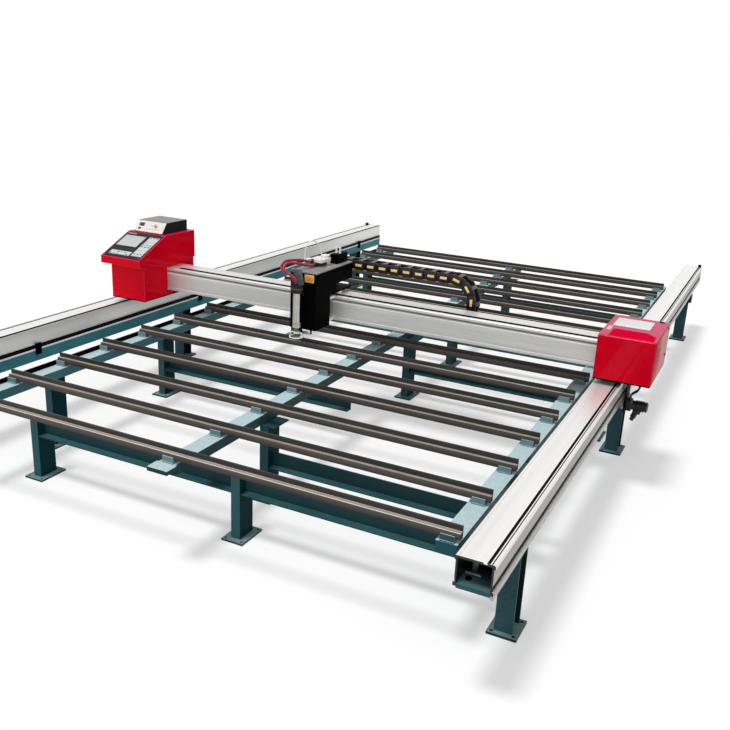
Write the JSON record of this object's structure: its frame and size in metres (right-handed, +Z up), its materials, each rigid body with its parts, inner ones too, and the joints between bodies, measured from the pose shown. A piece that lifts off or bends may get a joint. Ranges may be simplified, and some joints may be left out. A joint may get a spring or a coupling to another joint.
{
  "type": "gantry cutting machine",
  "caption": "Floor-standing light gantry cutter: a beam on rollers carries a torch carriage with a powered lift along two rails over a slatted table.",
  "frame": {"origin": "on the floor, under the middle of the whole machine's footprint", "axes": "+Z up; +Y along the rails away from the operator's end; +X across, towards the drive box"},
  "size_m": [3.63, 6, 1.164],
  "materials": {
    "rail_aluminium": "clear anodised extrusion",
    "teal_paint": "satin paint",
    "black_paint": "fine powder coat",
    "slat_steel": "hot-rolled, scaled and rusted",
    "machined_steel": "milled and oiled",
    "red_paint": "gloss paint",
    "black_plastic": "moulded",
    "motor_black": "satin paint",
    "screen": "clear front over a display",
    "keys": "printed membrane keys",
    "white_panel": "satin paint",
    "rocker": "moulded",
    "white_plastic": "moulded",
    "roller_nylon": "turned nylon",
    "hose_red": "smooth hose",
    "cable_black": "smooth sheath",
    "carriage_steel": "satin paint",
    "grey_lid": "satin paint",
    "torch_metal": "bright turned",
    "nozzle_brass": "turned"
  },
  "bodies": {
    "frame": {"left_rail": "rail_aluminium", "right_rail": "rail_aluminium", "rail_base_plates": "teal_paint", "rail_legs": "teal_paint", "rail_foot_plates": "teal_paint", "side_channels": "teal_paint", "channel_brackets": "black_paint", "rail_rack": "machined_steel", "rail_stops": "black_paint", "limit_switch": "black_plastic", "table_beams": "teal_paint", "slats": "slat_steel", "slat_saddles": "teal_paint", "stop_bar": "slat_steel", "table_posts": "teal_paint", "post_feet": "teal_paint", "cross_ties": "teal_paint"},
    "gantry": {"gantry_beam": "rail_aluminium", "left_truck": "black_paint", "right_truck": "black_paint", "control_box": "red_paint", "panel_bezel": "black_plastic", "lcd_screen": "screen", "panel_keys": "keys", "thc_case": "black_plastic", "thc_panel": "white_panel", "drive_box": "red_paint", "drive_side_plate": "red_paint", "drive_bracket": "black_paint", "drive_motor": "motor_black", "motor_cables": "cable_black", "beam_rack": "machined_steel", "chain_tray": "black_paint", "chain_lower": "black_plastic"},
    "carriage": {"carriage_plate": "carriage_steel", "glide_shoes": "roller_nylon", "torch_housing": "black_paint", "housing_lid": "grey_lid", "chain_bracket": "black_paint", "carriage_motors": "motor_black", "lift_rods": "machined_steel", "hose_manifold": "white_plastic", "torch_hoses": "hose_red", "gas_wire": "white_plastic", "chain_upper": "black_plastic"},
    "torch": {"torch_holder": "torch_metal", "torch_barrel": "torch_metal", "torch_nozzle": "nozzle_brass", "torch_collar": "black_plastic", "torch_head_plate": "grey_lid"},
    "chain_loop": {"chain_bend": "black_plastic"},
    "left_front_wheel": {"left_front_roller": "roller_nylon"},
    "left_rear_wheel": {"left_rear_roller": "roller_nylon"},
    "right_front_wheel": {"right_front_roller": "roller_nylon"},
    "right_rear_wheel": {"right_rear_roller": "roller_nylon"},
    "long_pinion": {"drive_pinion": "machined_steel"},
    "cross_pinion": {"carriage_pinion": "machined_steel"},
    "screw": {"lift_screw": "machined_steel"},
    "power_rocker": {"thc_rocker": "rocker"},
    "height_knob": {"thc_knob": "black_plastic"}
  },
  "joints": [
    {"name": "gantry_travel", "type": "slide", "parent": "frame", "child": "gantry", "axis": [0, 1, 0], "range_m": [-1.7, 2.9]},
    {"name": "carriage_travel", "type": "slide", "parent": "gantry", "child": "carriage", "axis": [1, 0, 0], "range_m": [-1.08, 1.28], "deforming": ["chain_upper", "chain_lower"]},
    {"name": "torch_lift", "type": "slide", "parent": "carriage", "child": "torch", "axis": [0, 0, 1], "range_m": [-0.005, 0.12], "deforming": ["torch_hoses"]},
    {"name": "chain_roll", "type": "slide", "parent": "gantry", "child": "chain_loop", "axis": [1, 0, 0], "range_m": [-0.55, 0.65]},
    {"name": "left_front_roll", "type": "hinge", "parent": "gantry", "child": "left_front_wheel", "pos_m": [-1.69, -0.96, 0.614], "axis": [1, 0, 0], "range_deg": [-12134, 7115]},
    {"name": "left_rear_roll", "type": "hinge", "parent": "gantry", "child": "left_rear_wheel", "pos_m": [-1.69, -0.62, 0.614], "axis": [1, 0, 0], "range_deg": [-12134, 7115]},
    {"name": "right_front_roll", "type": "hinge", "parent": "gantry", "child": "right_front_wheel", "pos_m": [1.56, -0.82, 0.614], "axis": [1, 0, 0], "range_deg": [-12134, 7115]},
    {"name": "right_rear_roll", "type": "hinge", "parent": "gantry", "child": "right_rear_wheel", "pos_m": [1.56, -0.51, 0.614], "axis": [1, 0, 0], "range_deg": [-12134, 7115]},
    {"name": "long_pinion_turn", "type": "hinge", "parent": "gantry", "child": "long_pinion", "pos_m": [1.655, -0.66, 0.431], "axis": [1, 0, 0], "range_deg": [-3252, 5544]},
    {"name": "cross_pinion_turn", "type": "hinge", "parent": "carriage", "child": "cross_pinion", "pos_m": [-0.245, -0.638, 0.828], "axis": [0, 0, 1], "range_deg": [-3672, 3099]},
    {"name": "lift_screw_turn", "type": "hinge", "parent": "carriage", "child": "screw", "pos_m": [-0.255, -1, 0.9], "axis": [0, 0, 1], "range_deg": [-4325, 185]},
    {"name": "rocker_tip", "type": "hinge", "parent": "gantry", "child": "power_rocker", "pos_m": [-1.69326, -0.80592, 1.09389], "axis": [1, 0, 0], "range_deg": [0, 12]},
    {"name": "knob_turn", "type": "hinge", "parent": "gantry", "child": "height_knob", "pos_m": [-1.57176, -0.81235, 1.09126], "axis": [0, -0.7934, 0.6087], "range_deg": [-140, 140]}
  ],
  "couplings": [
    {"joint": "chain_roll", "follows": "carriage_travel", "ratio": 0.5},
    {"joint": "left_front_roll", "follows": "gantry_travel", "rad_per_m": -72.993},
    {"joint": "left_rear_roll", "follows": "gantry_travel", "rad_per_m": -72.993},
    {"joint": "right_front_roll", "follows": "gantry_travel", "rad_per_m": -72.993},
    {"joint": "right_rear_roll", "follows": "gantry_travel", "rad_per_m": -72.993},
    {"joint": "long_pinion_turn", "follows": "gantry_travel", "rad_per_m": 33.333},
    {"joint": "cross_pinion_turn", "follows": "carriage_travel", "rad_per_m": -50},
    {"joint": "lift_screw_turn", "follows": "torch_lift", "rad_per_m": -628.32}
  ]
}
